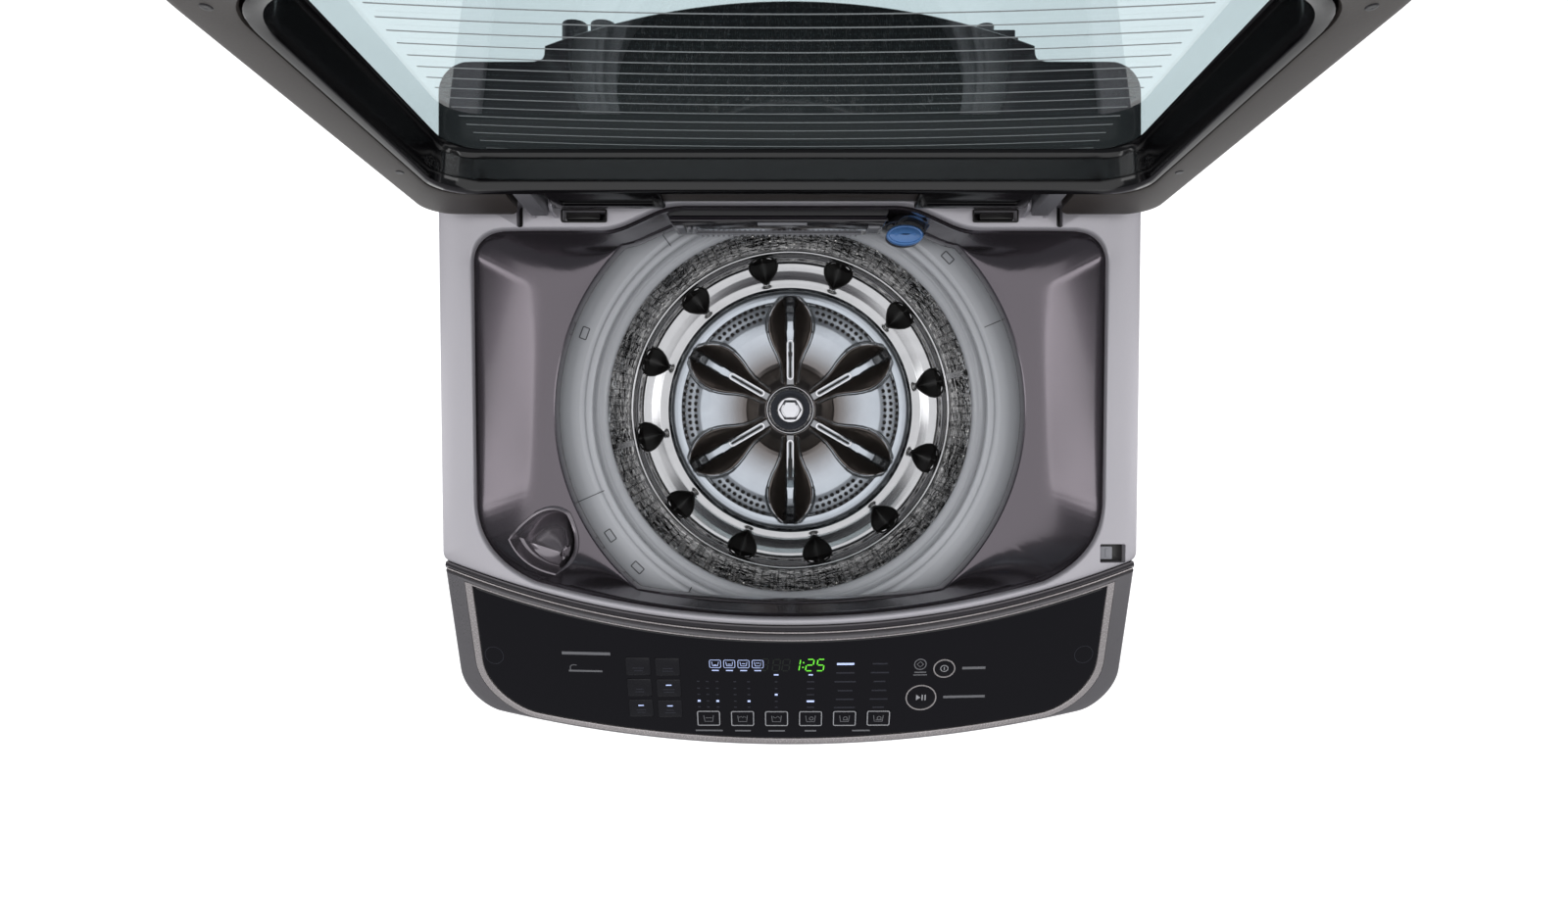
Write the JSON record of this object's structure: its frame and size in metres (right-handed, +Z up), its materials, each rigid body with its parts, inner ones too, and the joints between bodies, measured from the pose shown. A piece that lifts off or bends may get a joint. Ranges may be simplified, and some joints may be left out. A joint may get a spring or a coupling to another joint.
{
  "type": "top load washing machine",
  "caption": "Free-standing top load washer: steel cabinet, bowl-shaped top cover with sloped touch console, hinged glass lid, hung tub with spinning basket and pulsator.",
  "frame": {"origin": "middle of the bounding box's bottom face, on the floor", "axes": "+Z up, +Y to the machine's rear, +X to the right of a person in front of the console"},
  "size_m": [0.632, 0.696, 1.3707],
  "materials": {
    "painted_cabinet": "satin enamel",
    "silver_cover": "silver metallic moulding, satin",
    "console_metallic": "dark silver metallic",
    "black_gloss": "piano black",
    "bright_trim": "polished",
    "circuit_board": "solder mask",
    "dark_plastic": "satin",
    "blue_cap": "semi gloss",
    "grey_plastic": "satin",
    "tub_plastic": "filled polypropylene, semi gloss",
    "cast_aluminium": "as cast",
    "bearing_steel": "ground",
    "copper_windings": "varnished copper wire",
    "zinc_steel": "zinc plated",
    "hose_rubber": "matt",
    "stainless_steel": "bright rolled",
    "lid_plastic": "fine grained brown black",
    "tinted_glass": "tinted toughened",
    "foot_rubber": "matt",
    "key_plastic": "gloss with printed outline"
  },
  "bodies": {
    "cabinet": {"cabinet_shell": "painted_cabinet", "rear_panel": "painted_cabinet", "base_frame": "dark_plastic", "top_cover": "silver_cover", "console_housing": "console_metallic", "control_panel": "black_gloss", "panel_trim": "bright_trim", "control_board": "circuit_board", "inlet_valve": "dark_plastic", "cord_gland": "dark_plastic", "dispenser_box": "dark_plastic", "lid_lock_housing": "dark_plastic", "drain_pump": "dark_plastic", "suspension_rod_front_left": "zinc_steel", "suspension_rod_front_right": "zinc_steel", "suspension_rod_rear_right": "zinc_steel", "suspension_rod_rear_left": "zinc_steel"},
    "tub": {"outer_tub": "tub_plastic", "tub_cover": "tub_plastic", "bearing_housing": "cast_aluminium", "shaft_bearing": "bearing_steel", "stator": "copper_windings", "drain_hose": "hose_rubber", "suspension_spring_front_left": "zinc_steel", "suspension_spring_front_right": "zinc_steel", "suspension_spring_rear_right": "zinc_steel", "suspension_spring_rear_left": "zinc_steel"},
    "basket": {"basket_wall": "stainless_steel", "basket_floor": "stainless_steel", "balance_ring": "tub_plastic", "spin_shaft": "bearing_steel"},
    "agitator": {"pulsator": "stainless_steel", "pulsator_cap": "bright_trim", "wash_shaft": "bearing_steel", "rotor": "zinc_steel"},
    "lid": {"lid_frame": "lid_plastic", "lid_glass": "tinted_glass", "hinge_arm_left": "grey_plastic", "hinge_arm_right": "grey_plastic"},
    "drawer": {"detergent_drawer": "black_gloss"},
    "softener": {"softener_cap": "blue_cap"},
    "lid_lock": {"lid_lock_slider": "grey_plastic"},
    "foot_front_left": {"foot_front_left": "foot_rubber"},
    "foot_rear_left": {"foot_rear_left": "foot_rubber"},
    "foot_front_right": {"foot_front_right": "foot_rubber"},
    "foot_rear_right": {"foot_rear_right": "foot_rubber"},
    "course_key_1": {"course_key_1": "key_plastic"},
    "course_key_2": {"course_key_2": "key_plastic"},
    "course_key_3": {"course_key_3": "key_plastic"},
    "course_key_4": {"course_key_4": "key_plastic"},
    "course_key_5": {"course_key_5": "key_plastic"},
    "course_key_6": {"course_key_6": "key_plastic"},
    "option_key_1": {"option_key_1": "key_plastic"},
    "option_key_2": {"option_key_2": "key_plastic"},
    "option_key_3": {"option_key_3": "key_plastic"},
    "option_key_4": {"option_key_4": "key_plastic"},
    "option_key_5": {"option_key_5": "key_plastic"},
    "option_key_6": {"option_key_6": "key_plastic"},
    "power_key": {"power_key": "key_plastic"},
    "start_key": {"start_key": "key_plastic"}
  },
  "joints": [
    {"name": "lid_hinge", "type": "hinge", "parent": "cabinet", "child": "lid", "pos_m": [0, 0.159, 0.987], "axis": [1, 0, 0], "range_deg": [0, 98.2]},
    {"name": "tub_bounce", "type": "slide", "parent": "cabinet", "child": "tub", "axis": [0, 0, 1], "range_m": [-0.014, 0.008], "stiffness_N_per_m": 12000, "springref_m": 0.0348, "deforming": ["suspension_spring_front_left", "suspension_spring_front_right", "suspension_spring_rear_right", "suspension_spring_rear_left", "drain_hose"]},
    {"name": "basket_spin", "type": "hinge", "parent": "tub", "child": "basket", "pos_m": [0, -0.022, 0.45], "axis": [0, 0, 1], "continuous": true},
    {"name": "agitator_spin", "type": "hinge", "parent": "basket", "child": "agitator", "pos_m": [0, -0.022, 0.43], "axis": [0, 0, 1], "continuous": true},
    {"name": "drawer_slide", "type": "slide", "parent": "cabinet", "child": "drawer", "axis": [0, -1, 0], "range_m": [0, 0.085]},
    {"name": "softener_cap_slide", "type": "slide", "parent": "cabinet", "child": "softener", "axis": [0, -1, 0], "range_m": [0, 0.025]},
    {"name": "lid_lock_slide", "type": "slide", "parent": "cabinet", "child": "lid_lock", "axis": [1, 0, 0], "range_m": [0, 0.008]},
    {"name": "foot_front_left_thread", "type": "slide", "parent": "cabinet", "child": "foot_front_left", "axis": [0, 0, -1], "range_m": [0, 0.012]},
    {"name": "foot_rear_left_thread", "type": "slide", "parent": "cabinet", "child": "foot_rear_left", "axis": [0, 0, -1], "range_m": [0, 0.012]},
    {"name": "foot_front_right_thread", "type": "slide", "parent": "cabinet", "child": "foot_front_right", "axis": [0, 0, -1], "range_m": [0, 0.012]},
    {"name": "foot_rear_right_thread", "type": "slide", "parent": "cabinet", "child": "foot_rear_right", "axis": [0, 0, -1], "range_m": [0, 0.012]},
    {"name": "course_key_1_press", "type": "slide", "parent": "cabinet", "child": "course_key_1", "axis": [0, 0.3484, -0.9373], "range_m": [0, 0.0008], "stiffness_N_per_m": 400, "springref_m": -0.0004},
    {"name": "course_key_2_press", "type": "slide", "parent": "cabinet", "child": "course_key_2", "axis": [0, 0.3502, -0.9367], "range_m": [0, 0.0008], "stiffness_N_per_m": 400, "springref_m": -0.0004},
    {"name": "course_key_3_press", "type": "slide", "parent": "cabinet", "child": "course_key_3", "axis": [0, 0.351, -0.9364], "range_m": [0, 0.0008], "stiffness_N_per_m": 400, "springref_m": -0.0004},
    {"name": "course_key_4_press", "type": "slide", "parent": "cabinet", "child": "course_key_4", "axis": [0, 0.351, -0.9364], "range_m": [0, 0.0008], "stiffness_N_per_m": 400, "springref_m": -0.0004},
    {"name": "course_key_5_press", "type": "slide", "parent": "cabinet", "child": "course_key_5", "axis": [0, 0.3499, -0.9368], "range_m": [0, 0.0008], "stiffness_N_per_m": 400, "springref_m": -0.0004},
    {"name": "course_key_6_press", "type": "slide", "parent": "cabinet", "child": "course_key_6", "axis": [0, 0.3479, -0.9375], "range_m": [0, 0.0008], "stiffness_N_per_m": 400, "springref_m": -0.0004},
    {"name": "option_key_1_press", "type": "slide", "parent": "cabinet", "child": "option_key_1", "axis": [0, 0.3422, -0.9396], "range_m": [0, 0.0008], "stiffness_N_per_m": 400, "springref_m": -0.0004},
    {"name": "option_key_2_press", "type": "slide", "parent": "cabinet", "child": "option_key_2", "axis": [0, 0.3453, -0.9385], "range_m": [0, 0.0008], "stiffness_N_per_m": 400, "springref_m": -0.0004},
    {"name": "option_key_3_press", "type": "slide", "parent": "cabinet", "child": "option_key_3", "axis": [0, 0.3422, -0.9396], "range_m": [0, 0.0008], "stiffness_N_per_m": 400, "springref_m": -0.0004},
    {"name": "option_key_4_press", "type": "slide", "parent": "cabinet", "child": "option_key_4", "axis": [0, 0.3453, -0.9385], "range_m": [0, 0.0008], "stiffness_N_per_m": 400, "springref_m": -0.0004},
    {"name": "option_key_5_press", "type": "slide", "parent": "cabinet", "child": "option_key_5", "axis": [0, 0.3422, -0.9396], "range_m": [0, 0.0008], "stiffness_N_per_m": 400, "springref_m": -0.0004},
    {"name": "option_key_6_press", "type": "slide", "parent": "cabinet", "child": "option_key_6", "axis": [0, 0.3453, -0.9385], "range_m": [0, 0.0008], "stiffness_N_per_m": 400, "springref_m": -0.0004},
    {"name": "power_key_press", "type": "slide", "parent": "cabinet", "child": "power_key", "axis": [0, 0.3419, -0.9398], "range_m": [0, 0.0008], "stiffness_N_per_m": 400, "springref_m": -0.0004},
    {"name": "start_key_press", "type": "slide", "parent": "cabinet", "child": "start_key", "axis": [0, 0.3443, -0.9389], "range_m": [0, 0.0008], "stiffness_N_per_m": 400, "springref_m": -0.0004}
  ]
}
